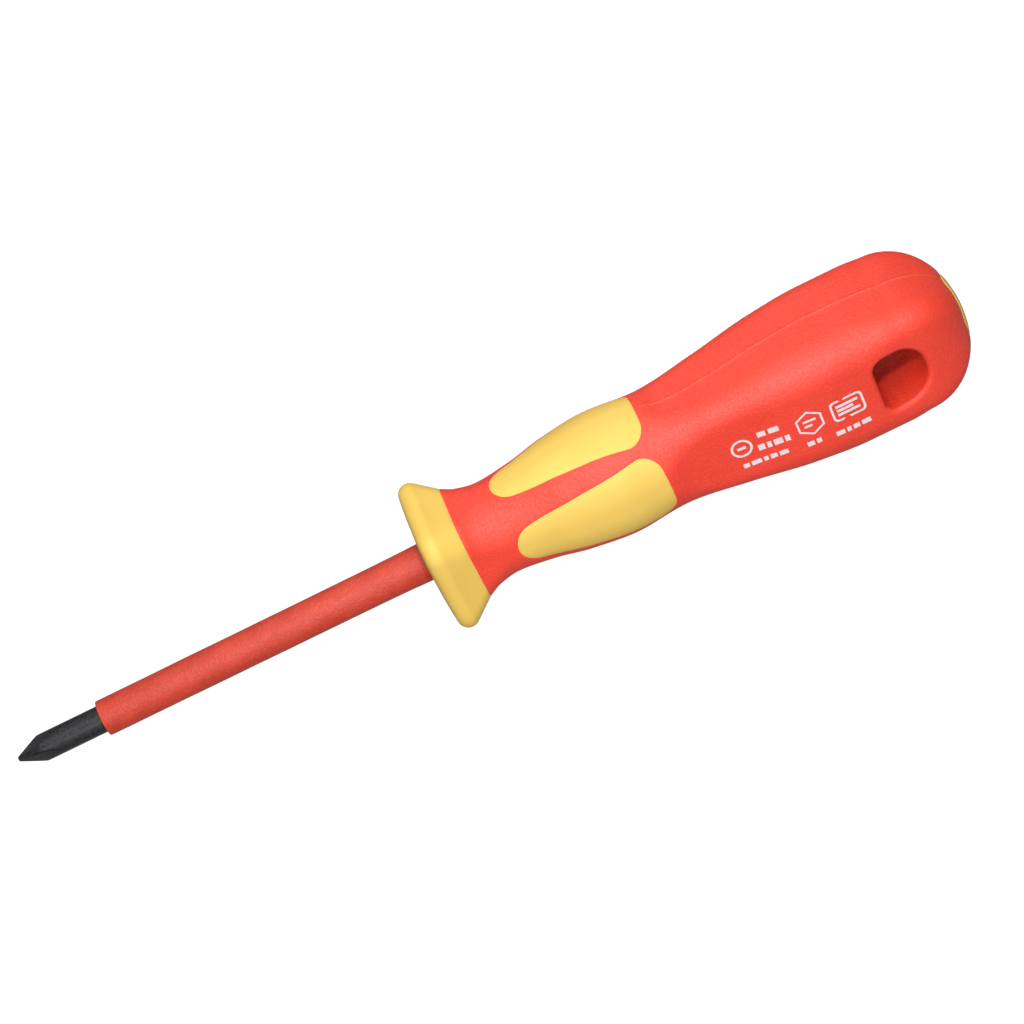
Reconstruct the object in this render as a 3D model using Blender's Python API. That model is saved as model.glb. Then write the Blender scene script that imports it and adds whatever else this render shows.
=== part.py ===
"""Insulated cross-point screwdriver, PH1 x 80, modelled as its real pieces.

The blade axis lies along +X with the blunt end of the point at the origin. +Z is up, and the
tool lies on the flat of the handle's rear bulge. The hanging hole runs along Y.
Lengths are millimetres here and metres in the meshes. The handle's own stations count from the
guard's front face, which is one blade reach behind the point.
"""
import math

import bmesh
import bpy
from mathutils import Matrix, Vector

MM = 0.001
GAP = 0.3                      # clearance between neighbouring solids

# Blade: round rod with a cross point, and a winged tail moulded into the core
BLADE_REACH = 80.0             # point to guard face
BLADE_RADIUS = 2.5
POINT_FLAT_RADIUS = 0.42
POINT_HALF_ANGLE = math.radians(24.3)
SHOULDER_START = 0.3           # the cone turns into the rod between these distances
SHOULDER_END = 0.4             # before and after their meeting
SHOULDER_DROP = 0.16
FLUTE_HALF_ANGLE = math.radians(46.0)
FLUTE_BOTTOM = ((-1.0, 0.20), (0.0, 0.30), (5.3, 1.25), (8.6, 2.75))    # (x, radius)
FLUTE_DEPTH = 3.0
TAIL_LENGTH = 45.0             # rod behind the guard face
TAIL_CHAMFER = 0.5
WING_START = 20.0
WING_LENGTH = 12.0
WING_HALF_SPAN = 4.0
WING_HALF_THICKNESS = 1.2

# Insulating sleeve on the blade
BARE_LENGTH = 16.7             # steel left bare at the point
SLEEVE_INSIDE = 10.0           # sleeve behind the guard face
SLEEVE_STATIONS = ((0.0, 3.05), (0.35, 3.30), (30.0, 3.35), (52.0, 3.38), (59.0, 3.46), (63.0, 3.53))
SLEEVE_BORE = BLADE_RADIUS + GAP

# Handle outline: reach of the section along the ridges' side view, from the guard face back
VIEW_TURN = math.radians(40.0)
REACH_FACTOR = math.sin(VIEW_TURN) + math.cos(VIEW_TURN)
LIP_CENTRE = (2.8, 11.9)
LIP_RADIUS = 2.05
LIP_BACK_ANGLE = math.radians(38.0)
GUARD_LENGTH = 7.9
REACH_STATIONS = (
    (7.9, 10.50), (10.5, 9.30), (14.2, 8.68), (20.5, 9.33), (28.0, 10.80), (36.4, 11.63),
    (46.0, 10.92), (58.0, 12.38), (70.0, 14.28), (80.0, 15.04), (88.0, 15.04), (92.0, 14.72),
)
ROUNDNESS_STATIONS = (         # corner radius over half width: 1 is a circle
    (0.0, 0.38), (4.0, 0.38), (8.0, 0.55), (14.2, 0.88), (22.0, 0.94), (45.0, 0.94),
    (49.5, 0.58), (54.0, 0.42), (60.0, 0.40), (68.0, 0.46), (76.0, 0.47), (80.0, 0.44),
    (84.0, 0.44), (88.0, 0.36), (92.0, 0.31),
)
DOME_START = 92.0
DOME_REACH = 14.72
DOME_POWER = 2.1
DOME_ROUNDING = 0.5
HANDLE_LENGTH = 104.5

# Guard
GUARD_FLAT_REACH = 9.6         # the front face is flat out to here
GUARD_FRONT_RISE = 0.3         # the face falls back this far beyond the flat,
GUARD_RISE_REACH = 11.17       # by here, before it rounds over into the lip
LIP_RING_DEGREES = (0, 25, 50, 75, 95, 128)
LIP_BACK_X = 5.2
GUARD_FRONT_WALL = 2.0
COLLAR_BORE = 6.3
SLEEVE_HOLE = 3.85

# Core, cover and pads
WALL = 2.0                     # cover wall and pad thickness
CORE_INSET = WALL + GAP
CORE_START = GUARD_FRONT_WALL + GAP
CORE_NECK_END = 9.0
CORE_NECK_RADIUS = 6.0
CORE_SHOULDER = 12.0
CORE_END = 78.0
PAD_NOSE_X = 16.1
PAD_NOSE_RADIUS = 4.05
PAD_NOSE_TURN = math.radians(13.2)
PAD_CORNER_RADIUS = 3.4
PAD_CORNER_TURN = math.radians(3.3)
PAD_REAR_X = 44.4
PAD_REAR_HALF = 3.73           # straight part of the rear edge
PAD_COLUMNS = 8

CUT_MARGIN = 1.0               # how far a cutter runs past the surface that it opens

# Hanging hole: straight towards the point, rounder towards the butt
HOLE_FRONT_X = 84.4
HOLE_BACK_X = 93.7
HOLE_HALF_HEIGHT = 5.8
HOLE_FRONT_RADIUS = 2.3
HOLE_BACK_RADIUS = 5.2
HOLE_LIP = 0.9

# Butt insert: an oval let into the domed end
INSERT_HALF_HEIGHT = 6.1
INSERT_HALF_WIDTH = 5.5
INSERT_DEPTH = 2.6

ARC_STEPS = 5                  # segments per section corner
FLAT_STEPS = 2                 # segments per section flat

RED = (0.80, 0.09, 0.06, 1.0)
DARK_RED = (0.72, 0.08, 0.04, 1.0)
YELLOW = (0.90, 0.60, 0.13, 1.0)
CORE_YELLOW = (0.78, 0.52, 0.12, 1.0)
DARK_STEEL = (0.06, 0.06, 0.065, 1.0)


# Helpers ------------------------------------------------------------------------------------

def material(name, color, roughness, metallic=0.0):
    """A Principled material, made once for each name."""
    found = bpy.data.materials.get(name)
    if found:
        return found
    made = bpy.data.materials.new(name)
    made.use_nodes = True
    shader = made.node_tree.nodes["Principled BSDF"]
    shader.inputs["Base Color"].default_value = color
    shader.inputs["Roughness"].default_value = roughness
    shader.inputs["Metallic"].default_value = metallic
    made.diffuse_color = color
    return made


def smooth_value(stations, x):
    """Cubic interpolation through (x, value) stations, level beyond the first and the last."""
    if x <= stations[0][0]:
        return stations[0][1]
    if x >= stations[-1][0]:
        return stations[-1][1]
    steps = []
    for (xa, ya), (xb, yb) in zip(stations, stations[1:]):
        steps.append((yb - ya) / (xb - xa))
    slopes = [steps[0]]
    for before, after in zip(steps, steps[1:]):
        # harmonic mean, so a peak or a level stretch is not overshot
        level = before * after <= 0.0
        slopes.append(0.0 if level else 2.0 * before * after / (before + after))
    slopes.append(steps[-1])
    for i in range(len(steps)):
        xa, ya = stations[i]
        xb, yb = stations[i + 1]
        if x <= xb:
            break
    width = xb - xa
    t = (x - xa) / width
    rise = 3.0 * t * t - 2.0 * t ** 3
    lead = t * (1.0 - t) ** 2
    trail = t * t * (t - 1.0)
    return ya + (yb - ya) * rise + width * (slopes[i] * lead + slopes[i + 1] * trail)


def section(half_width, radius):
    """Rounded square as (y, z) points, anticlockwise seen from +X."""
    centre = half_width - radius
    points = []
    for corner in range(4):
        turn = corner * math.pi / 2.0
        cos_turn = math.cos(turn)
        sin_turn = math.sin(turn)
        local = []
        for step in range(ARC_STEPS + 1):
            angle = step * math.pi / 2.0 / ARC_STEPS
            local.append((centre + radius * math.cos(angle), centre + radius * math.sin(angle)))
        for step in range(1, FLAT_STEPS):
            local.append((centre - 2.0 * centre * step / FLAT_STEPS, half_width))
        for y, z in local:
            points.append((y * cos_turn - z * sin_turn, y * sin_turn + z * cos_turn))
    return points


def circle(radius):
    """Circle with as many points as a section, in matching places."""
    return section(radius, radius * 0.999)


def new_object(name, mesh_data, look=None):
    """Object from a bmesh; without a material it is a hidden cutter."""
    bmesh.ops.recalc_face_normals(mesh_data, faces=mesh_data.faces)
    mesh = bpy.data.meshes.new(name)
    mesh_data.to_mesh(mesh)
    mesh_data.free()
    made = bpy.data.objects.new(name, mesh)
    bpy.context.scene.collection.objects.link(made)
    if look:
        mesh.materials.append(look)
    else:
        made.hide_render = True
        made.display_type = "WIRE"
    return made


def round_shading(target, sharp_degrees=35.0):
    target.data.shade_smooth()
    target.data.set_sharp_from_angle(angle=math.radians(sharp_degrees))


def loft(name, rings, look=None, closed=False):
    """Skin through rings of (x, y, z) points in mm, capped, or joined end to end if closed."""
    shape = bmesh.new()
    loops = []
    for ring in rings:
        loops.append([shape.verts.new(Vector(point) * MM) for point in ring])
    pairs = list(zip(loops, loops[1:]))
    if closed:
        pairs.append((loops[-1], loops[0]))
    else:
        shape.faces.new(loops[0])
        shape.faces.new(loops[-1])
    for first, second in pairs:
        for i in range(len(first)):
            j = (i + 1) % len(first)
            shape.faces.new((first[i], first[j], second[j], second[i]))
    return new_object(name, shape, look)


def ring_at(x, outline):
    """Section outline placed across the axis, x counted from the guard face."""
    return [(BLADE_REACH + x, y, z) for y, z in outline]


def cut(target, cutter, operation="DIFFERENCE"):
    change = target.modifiers.new(cutter.name, "BOOLEAN")
    change.operation = operation
    change.solver = "EXACT"
    change.object = cutter


def span(first, last, count):
    """Evenly spaced values from first to last."""
    return [first + (last - first) * i / (count - 1) for i in range(count)]


# Handle form --------------------------------------------------------------------------------

def reach(x):
    """Half height of the handle seen across the view turn, at x behind the guard face."""
    if x >= DOME_START:
        t = (x - DOME_START) / (HANDLE_LENGTH - DOME_START)
        return DOME_REACH * max(0.0, 1.0 - t ** DOME_POWER) ** (1.0 / DOME_POWER)
    if x >= GUARD_LENGTH:
        return smooth_value(REACH_STATIONS, x)
    centre_x, centre_reach = LIP_CENTRE
    back_x = centre_x + LIP_RADIUS * math.sin(LIP_BACK_ANGLE)
    if x <= back_x:
        return centre_reach + math.sqrt(max(0.0, LIP_RADIUS ** 2 - (x - centre_x) ** 2))
    back_reach = centre_reach + LIP_RADIUS * math.cos(LIP_BACK_ANGLE)
    end_reach = REACH_STATIONS[0][1]
    return back_reach + (end_reach - back_reach) * (x - back_x) / (GUARD_LENGTH - back_x)


def roundness(x):
    value = smooth_value(ROUNDNESS_STATIONS, x)
    if x > DOME_START:
        t = (x - DOME_START) / (HANDLE_LENGTH - DOME_START)
        value += DOME_ROUNDING * t ** 4
    return value


def half_width(x):
    """Half the distance across the flats."""
    return reach(x) / (REACH_FACTOR - (REACH_FACTOR - 1.0) * roundness(x))


def handle_section(x, inset=0.0):
    width = half_width(x)
    radius = max(width * roundness(x) - inset, 0.4)
    return section(width - inset, radius)


def surface_height(x, side, inset):
    """Height of the handle's surface above the axis, at a distance to the side of it."""
    width = half_width(x)
    radius = width * roundness(x) - inset
    centre = width - inset - radius
    over = abs(side) - centre
    if over <= 0.0:
        return width - inset
    return centre + math.sqrt(max(radius * radius - over * over, 0.0))


def surface_radius(x, angle, inset):
    """Distance from the axis to the handle's surface, within 45 degrees of a flat's middle."""
    width = half_width(x)
    radius = width * roundness(x) - inset
    centre = width - inset - radius
    flat_radius = (width - inset) / math.cos(angle)
    if flat_radius * abs(math.sin(angle)) <= centre:
        return flat_radius
    along = centre * (math.cos(angle) + abs(math.sin(angle)))
    return along + math.sqrt(max(along * along - 2.0 * centre * centre + radius * radius, 0.0))


# Pieces -------------------------------------------------------------------------------------

def blade_flutes():
    """Four V grooves whose bottoms rise from the point and run out on the rod."""
    grooves = []
    spread = FLUTE_DEPTH * math.tan(FLUTE_HALF_ANGLE)
    for i in range(4):
        turn = Matrix.Rotation(i * math.pi / 2.0, 3, "X")
        rings = []
        for x, bottom in FLUTE_BOTTOM:
            top = bottom + FLUTE_DEPTH
            corners = ((x, 0.0, bottom), (x, spread, top), (x, -spread, top))
            rings.append([turn @ Vector(corner) for corner in corners])
        grooves.append(loft("flute_cutter_%d" % i, rings))
    return grooves


def wing_block(name, grow):
    """Flat bar across the blade's tail."""
    shape = bmesh.new()
    bmesh.ops.create_cube(shape, size=1.0)
    size = (WING_LENGTH + 2.0 * grow, 2.0 * (WING_HALF_SPAN + grow), 2.0 * (WING_HALF_THICKNESS + grow))
    bmesh.ops.scale(shape, vec=Vector(size) * MM, verts=shape.verts)
    middle = Vector((BLADE_REACH + WING_START + WING_LENGTH / 2.0, 0.0, 0.0)) * MM
    bmesh.ops.translate(shape, vec=middle, verts=shape.verts)
    return new_object(name, shape)


def build_blade():
    shoulder = (BLADE_RADIUS - POINT_FLAT_RADIUS) / math.tan(POINT_HALF_ANGLE)
    profile = (
        (0.0, POINT_FLAT_RADIUS),
        (shoulder - SHOULDER_START, BLADE_RADIUS - SHOULDER_DROP),
        (shoulder + SHOULDER_END, BLADE_RADIUS),
        (BLADE_REACH + TAIL_LENGTH - TAIL_CHAMFER, BLADE_RADIUS),
        (BLADE_REACH + TAIL_LENGTH, BLADE_RADIUS - TAIL_CHAMFER),
    )
    rings = [[(x, y, z) for y, z in circle(radius)] for x, radius in profile]
    blade = loft("blade", rings, material("blade_steel", DARK_STEEL, 0.4, 1.0))
    for groove in blade_flutes():
        cut(blade, groove)
    cut(blade, wing_block("wing_form", 0.0), "UNION")
    round_shading(blade)


def build_sleeve():
    front = BARE_LENGTH - BLADE_REACH
    rings = [ring_at(front + x, circle(radius)) for x, radius in SLEEVE_STATIONS]
    last_radius = SLEEVE_STATIONS[-1][1]
    rings.append(ring_at(SLEEVE_INSIDE, circle(last_radius)))
    rings.append(ring_at(SLEEVE_INSIDE, circle(SLEEVE_BORE)))
    rings.append(ring_at(front, circle(SLEEVE_BORE)))
    sleeve = loft("shank_sleeve", rings, material("sleeve_red", DARK_RED, 0.3), closed=True)
    round_shading(sleeve)


def build_guard():
    lip_front = LIP_CENTRE[0] - LIP_RADIUS
    rings = [ring_at(0.0, circle(SLEEVE_HOLE))]
    for x, side in ((0.0, GUARD_FLAT_REACH), (GUARD_FRONT_RISE, GUARD_RISE_REACH)):
        width = side / (REACH_FACTOR - (REACH_FACTOR - 1.0) * roundness(0.0))
        rings.append(ring_at(x, section(width, width * roundness(0.0))))
    for degrees in LIP_RING_DEGREES:
        x = LIP_CENTRE[0] - LIP_RADIUS * math.cos(math.radians(degrees))
        rings.append(ring_at(max(x, lip_front), handle_section(x)))
    for x in span(LIP_BACK_X, GUARD_LENGTH, 3):
        rings.append(ring_at(x, handle_section(x)))
    rings.append(ring_at(GUARD_LENGTH, circle(COLLAR_BORE)))
    rings.append(ring_at(GUARD_FRONT_WALL, circle(COLLAR_BORE)))
    rings.append(ring_at(GUARD_FRONT_WALL, circle(SLEEVE_HOLE)))
    guard = loft("guard", rings, material("guard_yellow", YELLOW, 0.45), closed=True)
    round_shading(guard)


def core_rings(grow, first_x, last_x):
    """Rings of the hard core, or of the hollow it fills when grown by the gap."""
    rings = [
        ring_at(first_x, circle(CORE_NECK_RADIUS + grow)),
        ring_at(CORE_NECK_END, circle(CORE_NECK_RADIUS + grow)),
    ]
    inner = span(CORE_SHOULDER, CORE_END, 16)
    for x in inner:
        rings.append(ring_at(min(x, last_x), handle_section(x, CORE_INSET - grow)))
    if last_x > CORE_END:
        rings.append(ring_at(last_x, handle_section(CORE_END, CORE_INSET - grow)))
    return rings


def build_core():
    look = material("core_yellow", CORE_YELLOW, 0.5)
    core = loft("handle_core", core_rings(0.0, CORE_START, CORE_END), look)
    front_x = CORE_START - CUT_MARGIN
    bore = [ring_at(x, circle(BLADE_RADIUS + GAP)) for x in (front_x, TAIL_LENGTH + GAP)]
    cut(core, loft("blade_bore_cutter", bore))
    sleeve_radius = SLEEVE_STATIONS[-1][1] + GAP
    sleeve = [ring_at(x, circle(sleeve_radius)) for x in (front_x, SLEEVE_INSIDE + GAP)]
    cut(core, loft("sleeve_bore_cutter", sleeve))
    cut(core, wing_block("wing_slot_cutter", GAP))
    round_shading(core)


def pad_outline(grow):
    """Half outline of a pad, nose to rear edge, as (x, half width) points, grown outward."""
    nose_x = PAD_NOSE_X + PAD_NOSE_RADIUS
    nose_radius = PAD_NOSE_RADIUS + grow
    corner_x = PAD_REAR_X - PAD_CORNER_RADIUS
    corner_radius = PAD_CORNER_RADIUS + grow
    points = []
    for angle in span(0.0, math.pi / 2.0 - PAD_NOSE_TURN, 6):
        points.append((nose_x - nose_radius * math.cos(angle), nose_radius * math.sin(angle)))
    corner = []
    for angle in span(math.pi / 2.0 + PAD_CORNER_TURN, 0.0, 6):
        x = corner_x + corner_radius * math.cos(angle)
        corner.append((x, PAD_REAR_HALF + corner_radius * math.sin(angle)))
    # the side is a quadratic curve whose control point lies on both tangents
    (xa, ya), (xb, yb) = points[-1], corner[0]
    slope_a = math.tan(PAD_NOSE_TURN)
    slope_b = math.tan(PAD_CORNER_TURN)
    control_x = (yb - ya + slope_a * xa - slope_b * xb) / (slope_a - slope_b)
    control_y = ya + slope_a * (control_x - xa)
    for t in span(0.0, 1.0, 8)[1:-1]:
        x = (1.0 - t) ** 2 * xa + 2.0 * t * (1.0 - t) * control_x + t * t * xb
        y = (1.0 - t) ** 2 * ya + 2.0 * t * (1.0 - t) * control_y + t * t * yb
        points.append((x, y))
    return points + corner


def pad_shape(name, turn, inner, outer, grow, look=None):
    """Slab between two insets of the handle's form, over the pad outline, with radial sides."""
    outline = pad_outline(grow)
    shape = bmesh.new()
    layers = []
    for inset in (outer, inner):
        rows = []
        for x, half in outline:
            edge_angle = math.atan2(half, surface_height(x, half, 0.0))
            angles = span(-edge_angle, edge_angle, PAD_COLUMNS + 1) if half > 0.0 else [0.0]
            row = []
            for angle in angles:
                radius = surface_radius(x, angle, inset)
                y = radius * math.sin(angle + turn)
                z = radius * math.cos(angle + turn)
                row.append(shape.verts.new(Vector((BLADE_REACH + x, y, z)) * MM))
            rows.append(row if len(row) > 1 else row * (PAD_COLUMNS + 1))
        layers.append(rows)
    for rows in layers:
        for near, far in zip(rows, rows[1:]):
            for i in range(PAD_COLUMNS):
                corners = (near[i], near[i + 1], far[i + 1], far[i])
                shape.faces.new(list(dict.fromkeys(corners)))
    top, bottom = layers
    for edge in (0, PAD_COLUMNS):
        for i in range(len(top) - 1):
            corners = (top[i][edge], top[i + 1][edge], bottom[i + 1][edge], bottom[i][edge])
            shape.faces.new(list(dict.fromkeys(corners)))
    for i in range(PAD_COLUMNS):
        shape.faces.new((top[-1][i], top[-1][i + 1], bottom[-1][i + 1], bottom[-1][i]))
    return new_object(name, shape, look)


PAD_TURNS = (
    ("top", 0.0),
    ("front", -math.pi / 2.0),
    ("bottom", math.pi),
    ("back", math.pi / 2.0),
)


def build_pads():
    look = material("pad_yellow", YELLOW, 0.45)
    for side, turn in PAD_TURNS:
        pad = pad_shape("grip_pad_" + side, turn, WALL, 0.0, 0.0, look)
        round_shading(pad)


def rounded_outline(front_x, back_x, half_height, front_radius, back_radius, grow, steps=5):
    """Rounded rectangle in (x, z) with its own corner radius at each end."""
    points = []
    corners = (
        (back_x - back_radius, half_height - back_radius, back_radius, 0.0),
        (front_x + front_radius, half_height - front_radius, front_radius, math.pi / 2.0),
        (front_x + front_radius, front_radius - half_height, front_radius, math.pi),
        (back_x - back_radius, back_radius - half_height, back_radius, 1.5 * math.pi),
    )
    for x, z, radius, first in corners:
        for angle in span(first, first + math.pi / 2.0, steps):
            points.append((x + (radius + grow) * math.cos(angle), z + (radius + grow) * math.sin(angle)))
    return points


def hole_cutter():
    """Hanging hole with a rounded lip at both mouths."""
    face = half_width((HOLE_FRONT_X + HOLE_BACK_X) / 2.0)
    levels = [(face + CUT_MARGIN, HOLE_LIP)]
    for angle in span(math.pi / 2.0, 0.0, 4):
        depth = HOLE_LIP * (1.0 - math.sin(angle))
        levels.append((face - depth, HOLE_LIP * (1.0 - math.cos(angle))))
    levels += [(-y, grow) for y, grow in reversed(levels)]
    rings = []
    for y, grow in levels:
        outline = rounded_outline(
            HOLE_FRONT_X, HOLE_BACK_X, HOLE_HALF_HEIGHT, HOLE_FRONT_RADIUS, HOLE_BACK_RADIUS, grow)
        rings.append([(BLADE_REACH + x, y, z) for x, z in outline])
    return loft("hanging_hole_cutter", rings)


def oval_block(name, grow, first_x, last_x):
    """Oval bar along X, higher than it is wide."""
    outline = []
    for i in range(24):
        angle = i * math.pi / 12.0
        y = (INSERT_HALF_WIDTH + grow) * math.cos(angle)
        z = (INSERT_HALF_HEIGHT + grow) * math.sin(angle)
        outline.append((y, z))
    return loft(name, [ring_at(x, outline) for x in (first_x, last_x)])


def handle_stations():
    """Ring places along the cover, closer together on the domed end."""
    stations = span(GUARD_LENGTH + GAP, DOME_START, 32)
    for angle in span(0.0, math.pi / 2.0, 12)[1:-1]:
        stations.append(DOME_START + (HANDLE_LENGTH - DOME_START) * math.sin(angle))
    return stations


def build_cover():
    rings = [ring_at(x, handle_section(x)) for x in handle_stations()]
    cover = loft("grip_cover", rings, material("cover_red", RED, 0.5))
    hollow = core_rings(GAP, GUARD_LENGTH - CUT_MARGIN, CORE_END + GAP)
    cut(cover, loft("core_hollow_cutter", hollow))
    for side, turn in PAD_TURNS:
        cut(cover, pad_shape("pad_window_cutter_" + side, turn, WALL + CUT_MARGIN, -CUT_MARGIN, GAP))
    cut(cover, hole_cutter())
    pocket_x = HANDLE_LENGTH - INSERT_DEPTH - GAP
    cut(cover, oval_block("insert_pocket_cutter", GAP, pocket_x, HANDLE_LENGTH + CUT_MARGIN))
    round_shading(cover)


def build_insert():
    rings = [ring_at(x, handle_section(x)) for x in handle_stations() if x > DOME_START]
    insert = loft("butt_insert", rings, material("insert_yellow", YELLOW, 0.45))
    floor_x = HANDLE_LENGTH - INSERT_DEPTH
    bar = oval_block("insert_form", 0.0, floor_x, HANDLE_LENGTH + CUT_MARGIN)
    cut(insert, bar, "INTERSECT")
    round_shading(insert)


def build():
    for old in list(bpy.data.objects):
        bpy.data.objects.remove(old, do_unlink=True)
    build_blade()
    build_sleeve()
    build_guard()
    build_core()
    build_pads()
    build_cover()
    build_insert()


build()
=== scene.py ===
"""Looks of the insulated screwdriver: fine surfaces, materials, light and camera.

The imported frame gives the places: every length in the shapes below is in millimetres, and x counts
from the guard's front face towards the butt. The blade axis is y = z = 0, the front face is -Y.
"""
import math

import bmesh
import bpy
from mathutils import Matrix, Vector, geometry, kdtree, noise


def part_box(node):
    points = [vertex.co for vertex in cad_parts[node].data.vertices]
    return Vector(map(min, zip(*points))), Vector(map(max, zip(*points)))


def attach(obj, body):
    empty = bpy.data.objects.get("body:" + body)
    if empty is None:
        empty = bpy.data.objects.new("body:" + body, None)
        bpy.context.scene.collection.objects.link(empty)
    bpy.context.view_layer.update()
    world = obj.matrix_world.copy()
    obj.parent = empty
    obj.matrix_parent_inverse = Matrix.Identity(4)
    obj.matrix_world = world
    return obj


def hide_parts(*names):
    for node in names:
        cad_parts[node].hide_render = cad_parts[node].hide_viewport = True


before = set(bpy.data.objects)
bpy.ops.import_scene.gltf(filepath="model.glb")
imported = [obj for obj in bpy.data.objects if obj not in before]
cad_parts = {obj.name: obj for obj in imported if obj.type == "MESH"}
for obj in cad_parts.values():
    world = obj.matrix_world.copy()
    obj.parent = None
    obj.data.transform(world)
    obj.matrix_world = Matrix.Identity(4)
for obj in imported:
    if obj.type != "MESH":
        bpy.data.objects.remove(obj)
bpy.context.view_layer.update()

MM = 0.001
BODY = "root"


def box_mm(node):
    low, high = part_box(node)
    return low / MM, high / MM


# Places taken from the frame ----------------------------------------------------------------

GUARD_LOW, GUARD_HIGH = box_mm("guard")
SLEEVE_LOW, SLEEVE_HIGH = box_mm("shank_sleeve")
INSERT_LOW, INSERT_HIGH = box_mm("butt_insert")
PAD_LOW, PAD_HIGH = box_mm("grip_pad_top")
BLADE_END_X = box_mm("blade")[1].x
CORE_END_X = box_mm("handle_core")[1].x
FLOOR_Z = box_mm("grip_cover")[0].z
GUARD_X = GUARD_LOW.x
GUARD_LENGTH = GUARD_HIGH.x - GUARD_X

# Handle form --------------------------------------------------------------------------------

VIEW_TURN = math.radians(40.0)
REACH_FACTOR = math.sin(VIEW_TURN) + math.cos(VIEW_TURN)
LIP_CENTRE = (2.8, 11.9)
LIP_RADIUS = 2.05
LIP_BACK_ANGLE = math.radians(38.0)
REACH_STATIONS = (
    (7.9, 10.50), (10.5, 9.30), (14.2, 8.68), (20.5, 9.33), (28.0, 10.80), (36.4, 11.63),
    (46.0, 10.92), (58.0, 12.38), (70.0, 14.28), (80.0, 15.04), (88.0, 15.04), (92.0, 14.72),
)
ROUNDNESS_STATIONS = (
    (0.0, 0.38), (4.0, 0.38), (8.0, 0.55), (14.2, 0.88), (22.0, 0.94), (45.0, 0.94),
    (49.5, 0.58), (54.0, 0.42), (60.0, 0.40), (68.0, 0.46), (76.0, 0.47), (80.0, 0.44),
    (84.0, 0.44), (88.0, 0.36), (92.0, 0.31),
)
DOME_START = 92.0
DOME_REACH = 14.72
DOME_POWER = 2.1
DOME_ROUNDING = 0.5
HANDLE_LENGTH = 104.5

PAD_NOSE_X = PAD_LOW.x - GUARD_X
PAD_REAR_X = PAD_HIGH.x - GUARD_X
PAD_NOSE_RADIUS = 4.05
PAD_NOSE_TURN = math.radians(13.2)
PAD_CORNER_RADIUS = 3.4
PAD_CORNER_TURN = math.radians(3.3)
PAD_REAR_HALF = 3.73
PAD_REAR_BOW = 0.35            # the rear edge swells this far in its middle
WALL = 2.0
PIECE_GAP = 0.3                # between pieces that touch in the real tool

HOLE_FRONT_X = 84.4
HOLE_BACK_X = 93.7
HOLE_HALF_HEIGHT = 5.8
HOLE_FRONT_RADIUS = 2.3
HOLE_BACK_RADIUS = 5.2
HOLE_LIP = 0.9
HOLE_SPACING = 0.5             # between points on the hole's straight sides

INSERT_HALF_HEIGHT = INSERT_HIGH.z
INSERT_HALF_WIDTH = INSERT_HIGH.y
INSERT_FLOOR_X = INSERT_LOW.x - GUARD_X
INSERT_TOP_X = 104.4           # the insert's dome is levelled off here
INSERT_TOP_BLEND = 0.2
RIM_DEPTH = 0.20               # the cover's end rounds over into the insert's pocket
RIM_WIDTH = 1.2

# Fine detail
SEAM_DEPTH = 0.05              # how far an edge dips where two colours meet
SEAM_WIDTH = 0.12
PARTING_HEIGHT = 0.06          # the moulding line stands proud by this
PARTING_HALF_WIDTH = 0.16
PARTING_START = PAD_HIGH.x + 0.8    # where its painted highlight begins, counted from the point
CAP_X = 97.5                   # the domed end is meshed from here in (y, z)
SPACING = 0.8                  # triangle size on the handle
CAP_SPACING = 0.6              # the same on the domed end
INNER_SPACING = 2.0            # and on the faces inside
LINE_CLEARANCE = 0.45          # the moulding line's runs stop this short of an edge
QUARTER = math.pi / 4.0
SPREAD = 11.0                  # mm per radian in the flat meshing plane


def span(first, last, count):
    return [first + (last - first) * i / (count - 1) for i in range(count)]


def smooth_value(stations, x):
    """Cubic interpolation through (x, value) stations, level beyond the first and the last."""
    if x <= stations[0][0]:
        return stations[0][1]
    if x >= stations[-1][0]:
        return stations[-1][1]
    steps = []
    for (xa, ya), (xb, yb) in zip(stations, stations[1:]):
        steps.append((yb - ya) / (xb - xa))
    slopes = [steps[0]]
    for before, after in zip(steps, steps[1:]):
        level = before * after <= 0.0
        slopes.append(0.0 if level else 2.0 * before * after / (before + after))
    slopes.append(steps[-1])
    for i in range(len(steps)):
        xa, ya = stations[i]
        xb, yb = stations[i + 1]
        if x <= xb:
            break
    width = xb - xa
    t = (x - xa) / width
    rise = 3.0 * t * t - 2.0 * t ** 3
    lead = t * (1.0 - t) ** 2
    trail = t * t * (t - 1.0)
    return ya + (yb - ya) * rise + width * (slopes[i] * lead + slopes[i + 1] * trail)


def reach(x):
    """Half height of the handle seen across the view turn."""
    if x >= DOME_START:
        t = min(1.0, (x - DOME_START) / (HANDLE_LENGTH - DOME_START))
        return DOME_REACH * max(0.0, 1.0 - t ** DOME_POWER) ** (1.0 / DOME_POWER)
    if x >= GUARD_LENGTH:
        return smooth_value(REACH_STATIONS, x)
    centre_x, centre_reach = LIP_CENTRE
    back_x = centre_x + LIP_RADIUS * math.sin(LIP_BACK_ANGLE)
    if x <= back_x:
        return centre_reach + math.sqrt(max(0.0, LIP_RADIUS ** 2 - (x - centre_x) ** 2))
    back_reach = centre_reach + LIP_RADIUS * math.cos(LIP_BACK_ANGLE)
    end_reach = REACH_STATIONS[0][1]
    return back_reach + (end_reach - back_reach) * (x - back_x) / (GUARD_LENGTH - back_x)


def roundness(x):
    value = smooth_value(ROUNDNESS_STATIONS, x)
    if x > DOME_START:
        t = (x - DOME_START) / (HANDLE_LENGTH - DOME_START)
        value += DOME_ROUNDING * t ** 4
    return value


def width_for(reach_value, round_value):
    return reach_value / (REACH_FACTOR - (REACH_FACTOR - 1.0) * round_value)


FORM_CACHE = {}


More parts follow.
